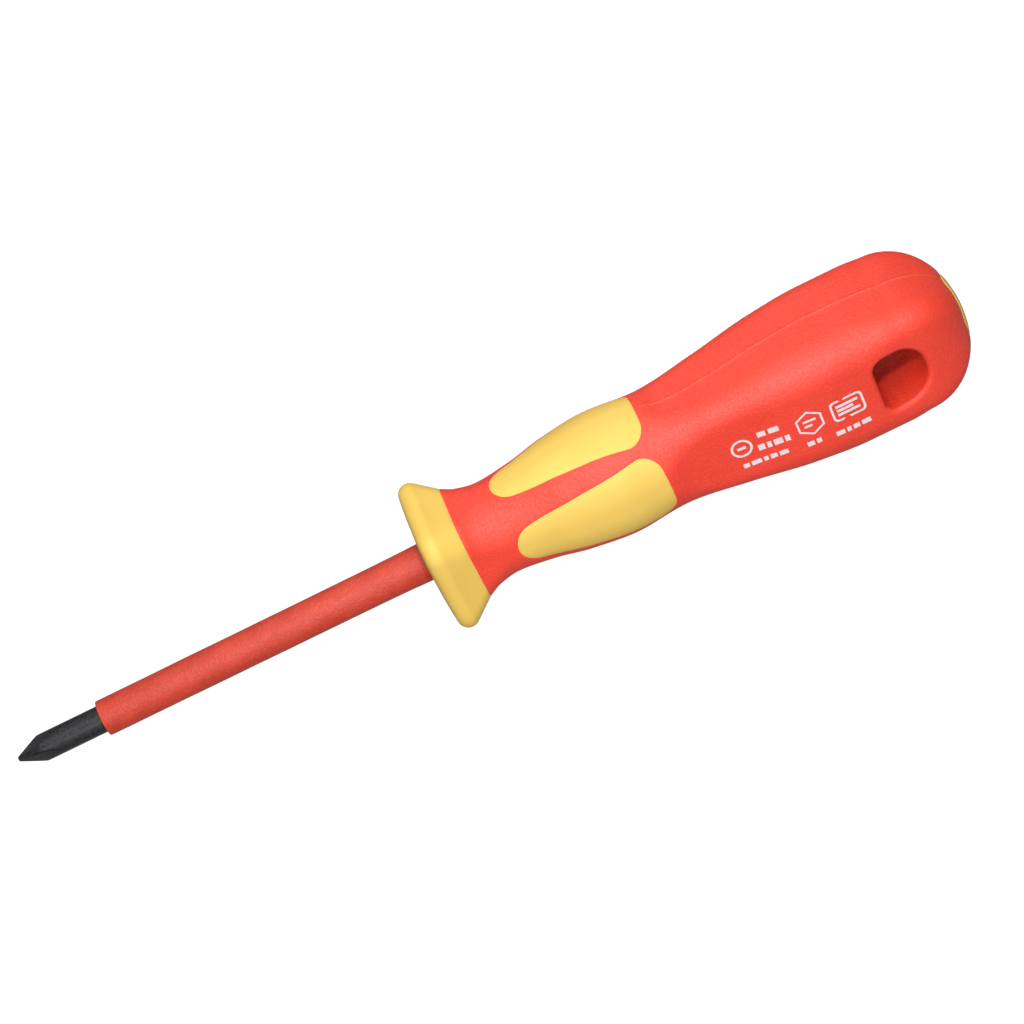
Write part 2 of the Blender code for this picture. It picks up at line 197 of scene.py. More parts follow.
def form(x):
    """Half width across the flats and corner radius at x."""
    key = round(x, 6)
    if key not in FORM_CACHE:
        rounding = roundness(x)
        width = width_for(reach(x), rounding)
        FORM_CACHE[key] = (width, width * rounding)
    return FORM_CACHE[key]


def square_radius(width, corner, angle):
    """Distance from the middle to a rounded square's edge, angle from a flat's middle."""
    angle = (angle + QUARTER) % (2.0 * QUARTER) - QUARTER
    centre = width - corner
    flat_radius = width / math.cos(angle)
    if flat_radius * abs(math.sin(angle)) <= centre:
        return flat_radius
    along = centre * (math.cos(angle) + abs(math.sin(angle)))
    return along + math.sqrt(max(along * along - 2.0 * centre * centre + corner * corner, 0.0))


def surface_radius(x, angle, inset=0.0):
    width, corner = form(x)
    return square_radius(width - inset, max(corner - inset, 0.3), angle)


def surface_height(x, side):
    """Height of the surface above the axis, at a distance to the side of it."""
    width, corner = form(x)
    centre = width - corner
    over = abs(side) - centre
    if over <= 0.0:
        return width
    return centre + math.sqrt(max(corner * corner - over * over, 0.0))


def angle_of(x, side):
    """Polar angle of the surface point that lies to the side of a flat's middle."""
    return math.atan2(side, surface_height(x, side))


def skin_point(x, angle, turn, inset=0.0):
    """Point on the handle, angle measured from the middle of the flat at this turn."""
    radius = surface_radius(x, angle, inset)
    return (x, radius * math.sin(angle + turn), radius * math.cos(angle + turn))


# Mesh building ------------------------------------------------------------------------------

class Skin:
    """Faces through points in mm, sharing the vertices that lie at one place."""

    def __init__(self):
        self.mesh = bmesh.new()
        self.known = {}

    def vertex(self, point):
        key = tuple(round(value, 4) for value in point)
        if key not in self.known:
            place = Vector((point[0] + GUARD_X, point[1], point[2])) * MM
            self.known[key] = self.mesh.verts.new(place)
        return self.known[key]

    def face(self, points):
        corners = list(dict.fromkeys(self.vertex(point) for point in points))
        if len(corners) > 2 and self.mesh.faces.get(corners) is None:
            self.mesh.faces.new(corners)

    def triangles(self, points, triples):
        for triple in triples:
            self.face([points[i] for i in triple])

    def band(self, first, second, closed=True):
        count = len(first)
        for i in range(count if closed else count - 1):
            j = (i + 1) % count
            self.face((first[i], first[j], second[j], second[i]))

    def lofted(self, rings, closed=False):
        for first, second in zip(rings, rings[1:]):
            self.band(first, second)
        if closed:
            self.band(rings[-1], rings[0])
        else:
            self.face(rings[0])
            self.face(rings[-1])

    def finish(self, name, look, slot, *nodes, sharp=32.0):
        bmesh.ops.recalc_face_normals(self.mesh, faces=self.mesh.faces)
        data = bpy.data.meshes.new(name)
        self.mesh.to_mesh(data)
        self.mesh.free()
        data.materials.append(look)
        data.shade_smooth()
        data.set_sharp_from_angle(angle=math.radians(sharp))
        piece = bpy.data.objects.new(name, data)
        bpy.context.scene.collection.objects.link(piece)
        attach(piece, BODY)
        if nodes:
            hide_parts(*nodes)
        return piece


def inside(point, loop):
    """Even-odd test of a flat point in a closed loop."""
    x, y = point
    found = False
    for (xa, ya), (xb, yb) in zip(loop, loop[1:] + loop[:1]):
        if (ya > y) != (yb > y) and x < (xb - xa) * (y - ya) / (yb - ya) + xa:
            found = not found
    return found


def flat_mesh(border, holes=(), rings=(), lines=(), spacing=SPACING):
    """Triangles over a flat region, as (points, triples).

    border and holes bound the region; rings are closed and lines open runs kept as edges.
    """
    points = []
    edges = []

    def add(run, closed):
        first = len(points)
        points.extend(run)
        last = len(points) - 1
        edges.extend((i, i + 1) for i in range(first, last))
        if closed:
            edges.append((last, first))

    add(border, True)
    for loop in list(holes) + list(rings):
        add(loop, True)
    for line in lines:
        add(line, False)
    tree = kdtree.KDTree(len(points))
    for i, (x, y) in enumerate(points):
        tree.insert((x, y, 0.0), i)
    tree.balance()
    xs = [x for x, y in border]
    ys = [y for x, y in border]
    row_step = spacing * math.sqrt(0.75)
    for row in range(1, int((max(xs) - min(xs)) / row_step) + 1):
        x = min(xs) + row * row_step
        offset = 0.5 * spacing if row % 2 else 0.0
        for column in range(int((max(ys) - min(ys)) / spacing) + 2):
            y = min(ys) + column * spacing + offset
            near = tree.find((x, y, 0.0))[2] < 0.55 * spacing
            if near or not inside((x, y), border) or any(inside((x, y), hole) for hole in holes):
                continue
            points.append((x, y))
    flat = [Vector(point) for point in points]
    made = geometry.delaunay_2d_cdt(flat, edges, [], 1, 1e-7)
    found = [tuple(point) for point in made[0]]
    sources = made[3]
    for i, source in enumerate(sources):
        if source:
            found[i] = points[source[0]]
    triples = []
    for triple in made[2]:
        x = sum(found[i][0] for i in triple) / 3.0
        y = sum(found[i][1] for i in triple) / 3.0
        if inside((x, y), border) and not any(inside((x, y), hole) for hole in holes):
            triples.append(tuple(triple))
    return found, triples


# Outlines -----------------------------------------------------------------------------------

def pad_half(grow):
    """Half outline of a pad, nose to rear edge, as (x, side) points, grown outward."""
    nose_x = PAD_NOSE_X + PAD_NOSE_RADIUS
    nose_radius = PAD_NOSE_RADIUS + grow
    corner_x = PAD_REAR_X - PAD_CORNER_RADIUS
    corner_radius = PAD_CORNER_RADIUS + grow
    points = []
    for angle in span(0.0, math.pi / 2.0 - PAD_NOSE_TURN, 19):
        points.append((nose_x - nose_radius * math.cos(angle), nose_radius * math.sin(angle)))
    corner = []
    for angle in span(math.pi / 2.0 + PAD_CORNER_TURN, 0.0, 15):
        x = corner_x + corner_radius * math.cos(angle)
        corner.append((x, PAD_REAR_HALF + corner_radius * math.sin(angle)))
    (xa, ya), (xb, yb) = points[-1], corner[0]
    slope_a = math.tan(PAD_NOSE_TURN)
    slope_b = math.tan(PAD_CORNER_TURN)
    control_x = (yb - ya + slope_a * xa - slope_b * xb) / (slope_a - slope_b)
    control_y = ya + slope_a * (control_x - xa)
    for t in span(0.0, 1.0, 46)[1:-1]:
        x = (1.0 - t) ** 2 * xa + 2.0 * t * (1.0 - t) * control_x + t * t * xb
        y = (1.0 - t) ** 2 * ya + 2.0 * t * (1.0 - t) * control_y + t * t * yb
        points.append((x, y))
    rear = [(PAD_REAR_X + grow, side) for side in span(PAD_REAR_HALF, 0.0, 9)[1:]]
    bowed = []
    for x, side in corner + rear:
        bow = PAD_REAR_BOW * (1.0 - (side / (PAD_REAR_HALF + PAD_CORNER_RADIUS)) ** 2)
        bowed.append((x + bow, side))
    return points + bowed


def pad_loop(grow):
    """Closed pad outline in the meshing plane: (x, angle spread to mm)."""
    half = [(x, SPREAD * angle_of(x, side)) for x, side in pad_half(grow)]
    other = [(x, -side) for x, side in reversed(half[1:-1])]
    return half + other


def rounded_outline(grow):
    """Hanging hole outline as (x, z) points, grown outward."""
    front_x, front_z = HOLE_FRONT_X + HOLE_FRONT_RADIUS, HOLE_HALF_HEIGHT - HOLE_FRONT_RADIUS
    back_x, back_z = HOLE_BACK_X - HOLE_BACK_RADIUS, HOLE_HALF_HEIGHT - HOLE_BACK_RADIUS
    corners = (
        (back_x, back_z, HOLE_BACK_RADIUS, 0.0),
        (front_x, front_z, HOLE_FRONT_RADIUS, 1.0),
        (front_x, -front_z, HOLE_FRONT_RADIUS, 2.0),
        (back_x, -back_z, HOLE_BACK_RADIUS, 3.0),
    )
    arcs = []
    for x, z, radius, quarter in corners:
        arc = []
        for angle in span(quarter * math.pi / 2.0, (quarter + 1.0) * math.pi / 2.0, 13):
            arc.append((x + (radius + grow) * math.cos(angle), z + (radius + grow) * math.sin(angle)))
        arcs.append(arc)
    points = []
    for arc, following in zip(arcs, arcs[1:] + arcs[:1]):
        points.extend(arc)
        (xa, za), (xb, zb) = arc[-1], following[0]
        count = max(2, int(math.hypot(xb - xa, zb - za) / HOLE_SPACING))
        for t in span(0.0, 1.0, count + 1)[1:-1]:
            points.append((xa + (xb - xa) * t, za + (zb - za) * t))
    return points


def insert_outline(grow=0.0):
    """Butt insert outline as (y, z) points."""
    points = []
    for i in range(96):
        angle = i * math.pi / 48.0
        y = (INSERT_HALF_WIDTH + grow) * math.cos(angle)
        z = (INSERT_HALF_HEIGHT + grow) * math.sin(angle)
        points.append((y, z))
    return points


# Grip cover ---------------------------------------------------------------------------------

TURN_TOP, TURN_FRONT, TURN_BOTTOM, TURN_BACK = 0.0, -math.pi / 2.0, math.pi, math.pi / 2.0
PADS = (("top", TURN_TOP), ("front", TURN_FRONT), ("bottom", TURN_BOTTOM), ("back", TURN_BACK))


def column_angles(parting):
    """Angles across one quarter of the handle, with the parting line's own if it has one."""
    angles = span(-QUARTER, QUARTER, 23)
    if parting:
        edge = PARTING_HALF_WIDTH / SPREAD
        angles = [angle for angle in angles if abs(angle) > 2.0 * edge] + [-edge, 0.0, edge]
    return sorted(angles)


def quarter_border(first_x, last_x, parting, spacing):
    """Closed border of a quarter in the meshing plane."""
    count = int((last_x - first_x) / spacing) + 1
    side = span(first_x, last_x, count)
    angles = [SPREAD * angle for angle in column_angles(parting)]
    border = [(first_x, y) for y in angles]
    border += [(x, angles[-1]) for x in side[1:-1]]
    border += [(last_x, y) for y in reversed(angles)]
    border += [(x, angles[0]) for x in reversed(side[1:-1])]
    return border


def parting_lines(first_x, last_x):
    """Ridge line and its two edges as runs in the meshing plane, open at both ends."""
    count = int((last_x - first_x) / SPACING) + 1
    places = span(first_x, last_x, count)
    return [[(x, side) for x in places] for side in (-PARTING_HALF_WIDTH, 0.0, PARTING_HALF_WIDTH)]


def quarter_patch(parting):
    """Outer skin of one quarter in the meshing plane, with its window and any hole mouth."""
    window = pad_loop(0.0)
    holes = [window]
    rings = [pad_loop(SEAM_WIDTH)]
    edge_x = GUARD_LENGTH + SEAM_WIDTH
    lines = [[(edge_x, SPREAD * angle) for angle in column_angles(parting)[1:-1]]]
    if parting:
        lines += parting_lines(PAD_REAR_X + 0.5, CAP_X - 0.4)
    else:
        mouth = [(x, SPREAD * angle_of(x, z)) for x, z in rounded_outline(HOLE_LIP)]
        holes.append(mouth)
    border = quarter_border(GUARD_LENGTH, CAP_X, parting, SPACING)
    return flat_mesh(border, holes, rings, lines) + (set(window),)


def outer_point(flat, turn, parting, window):
    x, side = flat
    dip = 0.0
    if x <= GUARD_LENGTH + 1e-6 or flat in window:
        dip = SEAM_DEPTH
    elif parting and abs(side) < 1e-9:
        dip = -PARTING_HEIGHT
    return skin_point(x, side / SPREAD, turn, dip)


def dome_x(y, z):
    """Where the domed end's surface lies above a point of the (y, z) plane."""
    radius = math.hypot(y, z)
    angle = math.atan2(y, z)
    low, high = CAP_X - 0.5, HANDLE_LENGTH
    for step in range(40):
        middle = 0.5 * (low + high)
        if surface_radius(middle, angle) > radius:
            low = middle
        else:
            high = middle
    return low


def rim_drop(y, z):
    """How far the cover's end falls away as it rounds over into the insert's pocket."""
    radius = math.hypot(y, z)
    rim = INSERT_HALF_HEIGHT * INSERT_HALF_WIDTH / math.hypot(
        INSERT_HALF_WIDTH * z / radius, INSERT_HALF_HEIGHT * y / radius)
    near = max(0.0, 1.0 - (radius - rim) / RIM_WIDTH)
    return RIM_DEPTH * near * near


def insert_x(y, z):
    """Top of the insert: the dome's form, levelled off in the middle."""
    top = dome_x(y, z)
    return 0.5 * (top + INSERT_TOP_X - math.hypot(top - INSERT_TOP_X, INSERT_TOP_BLEND))


def end_ring(x, inset=0.0, dipped=False):
    """Closed ring of the quarters' end columns at x."""
    ring = []
    for side, turn in PADS:
        parting = side in ("top", "bottom")
        column = []
        for angle in column_angles(parting)[:-1]:
            dip = inset
            if dipped and parting and angle == 0.0:
                dip = -PARTING_HEIGHT
            column.append(skin_point(x, angle, turn, dip))
        ring.append(column)
    top, front, bottom, back = ring
    return top + back + bottom + front


def mouth_rings(side):
    """Rings that round the hole's lip over, from the skin inwards, on the -1 or +1 side."""
    mouth = rounded_outline(HOLE_LIP)
    heights = [surface_height(x, z) for x, z in mouth]
    rings = []
    for angle in span(math.pi / 2.0, 0.0, 9):
        depth = HOLE_LIP * (1.0 - math.sin(angle))
        outline = rounded_outline(HOLE_LIP * (1.0 - math.cos(angle)))
        rings.append([(x, side * (height - depth), z) for (x, z), height in zip(outline, heights)])
    return rings


def build_cover(look):
    cover = Skin()
    plain = quarter_patch(False)
    parted = quarter_patch(True)
    for side, turn in PADS:
        parting = side in ("top", "bottom")
        flat, triples, window = parted if parting else plain
        places = [outer_point(point, turn, parting, window) for point in flat]
        cover.triangles(places, triples)
    # domed end, from the cap ring to the insert's pocket
    ring = end_ring(CAP_X, dipped=True)
    border = [(y, z) for x, y, z in ring]
    pocket = insert_outline()
    lines = []
    cap_top = max(z for y, z in border)
    for sign in (-1.0, 1.0):
        inner_z, outer_z = INSERT_HALF_HEIGHT + LINE_CLEARANCE, cap_top - LINE_CLEARANCE
        heights = span(sign * inner_z, sign * outer_z, 7)
        for y in (-PARTING_HALF_WIDTH, 0.0, PARTING_HALF_WIDTH):
            lines.append([(y, z) for z in heights])
    seam = insert_outline(SEAM_WIDTH)
    flat, triples = flat_mesh(border, [pocket], [seam], lines, CAP_SPACING)
    known = {key: point for key, point in zip(border, ring)}
    places = []
    for y, z in flat:
        if (y, z) in known:
            places.append(known[(y, z)])
            continue
        lift = -rim_drop(y, z)
        if y == 0.0 and abs(z) > INSERT_HALF_HEIGHT + 0.3:
            lift += PARTING_HEIGHT
        places.append((dome_x(y, z) + lift, y, z))
    cover.triangles(places, triples)
    # pocket for the insert
    rim_ring = [(dome_x(y, z) - rim_drop(y, z), y, z) for y, z in pocket]
    floor_ring = [(INSERT_FLOOR_X, y, z) for y, z in pocket]
    cover.band(rim_ring, floor_ring)
    cover.face(floor_ring)
    # hanging hole
    front_rings = mouth_rings(-1.0)
    back_rings = mouth_rings(1.0)
    tube = []
    for t in span(0.0, 1.0, 13)[1:-1]:
        level = []
        for near, far in zip(front_rings[-1], back_rings[-1]):
            level.append((near[0], near[1] + (far[1] - near[1]) * t, near[2]))
        tube.append(level)
    rings = front_rings + tube + back_rings[::-1]
    for first, second in zip(rings, rings[1:]):
        cover.band(first, second)
    # hollow for the core, with the windows' walls
    bore_end = CORE_END_X - GUARD_X + PIECE_GAP
    window = pad_loop(0.0)
    for side, turn in PADS:
        parting = side in ("top", "bottom")
        border = quarter_border(GUARD_LENGTH, bore_end, parting, INNER_SPACING)
        flat, triples = flat_mesh(border, [window], spacing=INNER_SPACING)
        places = [skin_point(x, y / SPREAD, turn, WALL) for x, y in flat]
        cover.triangles(places, triples)
        outer = [skin_point(x, y / SPREAD, turn, SEAM_DEPTH) for x, y in window]
        inner = [skin_point(x, y / SPREAD, turn, WALL) for x, y in window]
        cover.band(outer, inner)
    front_outer = end_ring(GUARD_LENGTH, SEAM_DEPTH)
    cover.band(front_outer, end_ring(GUARD_LENGTH, WALL))
    cover.face(end_ring(bore_end, WALL))
    return cover.finish("grip_cover_skin", look, "cover_red", "grip_cover")


def build_pads(look):
    loop = pad_loop(0.0)
    flat, triples = flat_mesh(loop, (), [pad_loop(-SEAM_WIDTH)])
    edge = set(loop)
    for side, turn in PADS:
        pad = Skin()
        top = []
        for x, y in flat:
            dip = SEAM_DEPTH if (x, y) in edge else 0.0
            top.append(skin_point(x, y / SPREAD, turn, dip))
        bottom = [skin_point(x, y / SPREAD, turn, WALL) for x, y in flat]
        pad.triangles(top, triples)
        pad.triangles(bottom, triples)
        outer = [skin_point(x, y / SPREAD, turn, SEAM_DEPTH) for x, y in loop]
        inner = [skin_point(x, y / SPREAD, turn, WALL) for x, y in loop]
        pad.band(outer, inner)
        pad.finish("finger_pad_" + side, look, "inlay_yellow", "grip_pad_" + side)


def build_insert(look):
    insert = Skin()
    outline = insert_outline()
    flat, triples = flat_mesh(outline, (), [insert_outline(-SEAM_WIDTH)], spacing=CAP_SPACING)
    edge = set(outline)
    places = []
    for y, z in flat:
        drop = SEAM_DEPTH if (y, z) in edge else 0.0
        places.append((insert_x(y, z) - drop, y, z))
    insert.triangles(places, triples)
    rim = [(insert_x(y, z) - SEAM_DEPTH, y, z) for y, z in outline]
    floor = [(INSERT_FLOOR_X, y, z) for y, z in outline]
    insert.band(rim, floor)
    insert.face(floor)
    return insert.finish("butt_insert_skin", look, "inlay_yellow", "butt_insert")


# Print on the front face --------------------------------------------------------------------

PRINT_LIFT = 0.03
PRINT_ROOT = 0.10              # how far the ink's closed bodies reach under the skin
STROKE = 0.42
INK_GAP = 0.42                 # between the bars of a row
INK_SPACING = 0.6              # between points along a bar
RING_X, HEXAGON_X, PANEL_X = 58.6, 71.1, 78.2
MARK_Z = 0.1
RING_RADIUS = 1.95
HEXAGON_RADIUS = 2.75
PANEL_HALF_LENGTH, PANEL_HALF_HEIGHT, PANEL_CORNER = 3.1, 2.3, 0.9
BAR_HEIGHT = 0.55


def front_point(x, z, lift):
    return (x, -(surface_height(x, z) + lift), z)


def ink_strip(ink, left, right, closed):
    """Closed raised strip between two runs of (x, z) points."""
    rings = []
    for (xa, za), (xb, zb) in zip(left, right):
        rings.append([
            front_point(xa, za, PRINT_LIFT), front_point(xb, zb, PRINT_LIFT),
            front_point(xb, zb, -PRINT_ROOT), front_point(xa, za, -PRINT_ROOT),
        ])
    ink.lofted(rings, closed)


def ink_loop(ink, outline, inner):
    ink_strip(ink, outline, inner, True)


def ink_bar(ink, x_first, x_last, z, height):
    count = max(2, int((x_last - x_first) / INK_SPACING) + 1)
    places = span(x_first, x_last, count)
    low = [(x, z - 0.5 * height) for x in places]
    high = [(x, z + 0.5 * height) for x in places]
    ink_strip(ink, high, low, False)


def polygon(x, z, radius, sides, turn=0.0):
    angles = [turn + 2.0 * math.pi * i / sides for i in range(sides)]
    return [(x + radius * math.cos(angle), z + radius * math.sin(angle)) for angle in angles]


def rounded_box(x, z, half_length, half_height, radius):
    points = []
    corners = ((1, 1), (-1, 1), (-1, -1), (1, -1))
    for quarter, (side_x, side_z) in enumerate(corners):
        for angle in span(quarter * math.pi / 2.0, (quarter + 1) * math.pi / 2.0, 7):
            along = side_x * (half_length - radius) + radius * math.cos(angle)
            up = side_z * (half_height - radius) + radius * math.sin(angle)
            points.append((x + along, z + up))
    return points


def ink_row(ink, x_first, lengths, z, height, space=INK_GAP):
    x = x_first
    for length in lengths:
        ink_bar(ink, x, x + length, z, height)
        x += length + space


def build_print(look):
    """Plain marks where such a tool has its printing; they say and stand for nothing."""
    ink = Skin()
    # ring with a bar, and rows of bars around it
    ring_hole = polygon(RING_X, MARK_Z, RING_RADIUS - STROKE, 40)
    ink_loop(ink, polygon(RING_X, MARK_Z, RING_RADIUS, 40), ring_hole)
    ink_bar(ink, RING_X - 0.8, RING_X + 0.8, MARK_Z, BAR_HEIGHT)
    ink_row(ink, 61.9, (1.5, 1.9), 1.7, 1.15, 0.5)
    ink_row(ink, 61.3, (1.2, 0.8, 1.6, 0.9), -1.15, 1.30)
    ink_row(ink, 57.7, (1.1, 1.8, 0.8, 1.2, 1.6), -3.95, 0.95)
    # hexagon with two bars
    turn = math.radians(30.0)
    hexagon_hole = polygon(HEXAGON_X, MARK_Z, HEXAGON_RADIUS - STROKE, 6, turn)
    ink_loop(ink, polygon(HEXAGON_X, MARK_Z, HEXAGON_RADIUS, 6, turn), hexagon_hole)
    ink_row(ink, 69.9, (2.4,), 0.65, 0.45)
    ink_row(ink, 69.9, (1.5,), -0.45, 0.45)
    ink_row(ink, 69.3, (1.3, 0.9), -4.35, 1.0)
    # rounded panel with three bars
    inner_length, inner_height = PANEL_HALF_LENGTH - STROKE, PANEL_HALF_HEIGHT - STROKE
    panel = rounded_box(PANEL_X, MARK_Z, PANEL_HALF_LENGTH, PANEL_HALF_HEIGHT, PANEL_CORNER)
    ink_loop(ink, panel, rounded_box(PANEL_X, MARK_Z, inner_length, inner_height, 0.6))
    ink_bar(ink, 76.1, 80.3, 1.0, BAR_HEIGHT)
    ink_bar(ink, 76.1, 79.2, 0.1, BAR_HEIGHT)
    ink_bar(ink, 76.1, 80.3, -0.8, BAR_HEIGHT)
    ink_row(ink, 74.6, (1.6, 0.8, 1.2, 1.7), -4.65, 1.0)
    return ink.finish("printed_marks", look, "print_white")


# Guard, sleeve and blade --------------------------------------------------------------------

AROUND = 144
EDGE_BREAK = 0.12              # small rounding of the tubes' and bores' edges
GUARD_FACE_X = 0.2             # the guard's front face starts here at the sleeve
GUARD_WALL = 2.0
COLLAR_RADIUS = 6.3            # hollow of the guard that the core's collar fills
LIP_FRONT_DEGREES, LIP_REAR_DEGREES = 8.0, 128.0
FLARE_START = 4.3              # behind the lip the guard follows the handle's form
SLEEVE_CLEARANCE = 0.06
SLEEVE_BORE = 2.53
SLEEVE_RADII = (
    (0.0, 3.31), (30.0, 3.35), (52.0, 3.38), (59.0, 3.44), (63.0, 3.53), (70.0, 3.53),
)
WAVE_HEIGHT = 0.025            # the drawn tube is not quite even
WAVE_ALONG, WAVE_ACROSS = 0.11, 0.8


def square_ring(x, width, corner):
    ring = []
    for i in range(AROUND):
        angle = 2.0 * math.pi * i / AROUND
        radius = square_radius(width, corner, angle)
        ring.append((x, radius * math.sin(angle), radius * math.cos(angle)))
    return ring


def round_ring(x, radius):
    return square_ring(x, radius, radius * 0.9999)


def build_guard(look):
    hole = SLEEVE_HIGH.z + SLEEVE_CLEARANCE
    face_start = hole + EDGE_BREAK
    rings = [round_ring(GUARD_FACE_X + 0.10, hole), round_ring(GUARD_FACE_X, face_start)]
    # front face, from the sleeve's hole out to the lip, round inside and square outside
    square = roundness(0.0)
    lip_x, lip_reach = LIP_CENTRE
    lip_start = math.radians(LIP_FRONT_DEGREES)
    face_edge = lip_reach + LIP_RADIUS * math.sin(lip_start)
    face_rise = lip_x - LIP_RADIUS * math.cos(lip_start) - GUARD_FACE_X
    for t in span(0.1, 0.98, 12):
        width = width_for(face_start + (face_edge - face_start) * t, square)
        corner = width * (1.0 - (1.0 - square) * min(1.0, t * 1.2))
        rings.append(square_ring(GUARD_FACE_X + face_rise * t * t, width, corner))
    # rounded lip
    for degrees in span(LIP_FRONT_DEGREES, LIP_REAR_DEGREES, 28):
        x = lip_x - LIP_RADIUS * math.cos(math.radians(degrees))
        side = lip_reach + LIP_RADIUS * math.sin(math.radians(degrees))
        rounding = roundness(max(x, 0.0))
        width = width_for(side, rounding)
        rings.append(square_ring(x, width, width * rounding))
    # flare down to the cover
    for x in span(FLARE_START, GUARD_LENGTH - SEAM_WIDTH, 10):
        width, corner = form(x)
        rings.append(square_ring(x, width, corner))
    width, corner = form(GUARD_LENGTH)
    rings.append(square_ring(GUARD_LENGTH, width - SEAM_DEPTH, corner - SEAM_DEPTH))
    rings.append(round_ring(GUARD_LENGTH, COLLAR_RADIUS))
    rings.append(round_ring(GUARD_WALL, COLLAR_RADIUS))
    rings.append(round_ring(GUARD_WALL, hole))
    guard = Skin()
    guard.lofted(rings, closed=True)
    return guard.finish("guard_skin", look, "inlay_yellow", "guard")


def build_sleeve(look):
    start = SLEEVE_LOW.x - GUARD_X
    end = SLEEVE_HIGH.x - GUARD_X
    front_radius = SLEEVE_RADII[0][1]
    rings = []
    for angle in span(0.0, math.pi / 2.0, 6):
        x = EDGE_BREAK * (1.0 - math.cos(angle))
        rings.append(round_ring(start + x, front_radius - EDGE_BREAK * (1.0 - math.sin(angle))))
    for x in span(1.0, end - start, 90):
        ring = []
        for i in range(AROUND):
            angle = 2.0 * math.pi * i / AROUND
            across = (math.cos(angle) * WAVE_ACROSS, math.sin(angle) * WAVE_ACROSS)
            wave = noise.noise(Vector((x * WAVE_ALONG, *across)))
            radius = smooth_value(SLEEVE_RADII, x) + WAVE_HEIGHT * wave
            ring.append((start + x, radius * math.sin(angle), radius * math.cos(angle)))
        rings.append(ring)
    rings.append(round_ring(end, SLEEVE_BORE))
    rings.append(round_ring(start + 0.15, SLEEVE_BORE))
    rings.append(round_ring(start, SLEEVE_BORE + EDGE_BREAK))
    sleeve = Skin()
    sleeve.lofted(rings, closed=True)
    return sleeve.finish("shank_sleeve_skin", look, "sleeve_red", "shank_sleeve")


POINT_FLAT_RADIUS = 0.42
POINT_HALF_ANGLE = math.radians(24.3)
POINT_BLEND = 0.12             # rounds the cone over into the rod
POINT_END = 12.0               # the plain rod starts here
FLUTE_COT = 1.0 / math.tan(math.radians(46.0))
FLUTE_BOTTOM = ((0.0, 0.30), (3.0, 0.74), (5.3, 1.25), (7.0, 1.95), (8.6, 3.0))
FLUTE_ROOT = 0.05              # rounds the bottom of a flute
FLUTE_BLEND = 0.04             # rounds its edges
ROD_RADIUS = 2.5
WING_FIRST, WING_LAST = 100.0, 112.0
WING_HALF_SPAN, WING_HALF_THICKNESS = 4.0, 1.2
POINT_BREAK = 0.05
TAIL_BREAK = 0.5


def blade_radius(x, angle):
    """Radius of the blade at a distance from the point, angle from a flute's middle."""
    if x >= POINT_END:
        return ROD_RADIUS
    cone = POINT_FLAT_RADIUS + x * math.tan(POINT_HALF_ANGLE)
    body = 0.5 * (cone + ROD_RADIUS - math.hypot(cone - ROD_RADIUS, POINT_BLEND))
    turn = (angle + QUARTER) % (2.0 * QUARTER) - QUARTER
    clear = math.cos(turn) - FLUTE_COT * math.hypot(math.sin(turn), FLUTE_ROOT)
    flute = smooth_value(FLUTE_BOTTOM, x) / max(clear, 0.01)
    return 0.5 * (body + flute - math.hypot(body - flute, FLUTE_BLEND))


def wing_radius(angle):
    """Radius of the flattened tail, whose wings reach to both sides of the rod."""
    across = WING_HALF_SPAN / max(abs(math.sin(angle)), 1e-6)
    up = WING_HALF_THICKNESS / max(abs(math.cos(angle)), 1e-6)
    return max(ROD_RADIUS, min(across, up))


def build_blade(look):
    tail = BLADE_END_X
    places = [0.0, 0.05] + span(0.15, 10.0, 80) + span(POINT_END, 98.0, 30) + span(99.5, 113.0, 28)
    places += [tail - TAIL_BREAK, tail]
    rings = []
    for x in places:
        ring = []
        for i in range(AROUND * 2):
            angle = math.pi * i / AROUND
            radius = blade_radius(x, angle)
            if WING_FIRST <= x <= WING_LAST:
                radius = wing_radius(angle)
            if x == 0.0:
                radius -= POINT_BREAK
            if x == tail:
                radius -= TAIL_BREAK
            ring.append((x - GUARD_X, radius * math.sin(angle), radius * math.cos(angle)))
        rings.append(ring)
    blade = Skin()
    blade.lofted(rings)
    return blade.finish("blade_skin", look, "blade_steel", "blade", sharp=40.0)


# Materials ----------------------------------------------------------------------------------

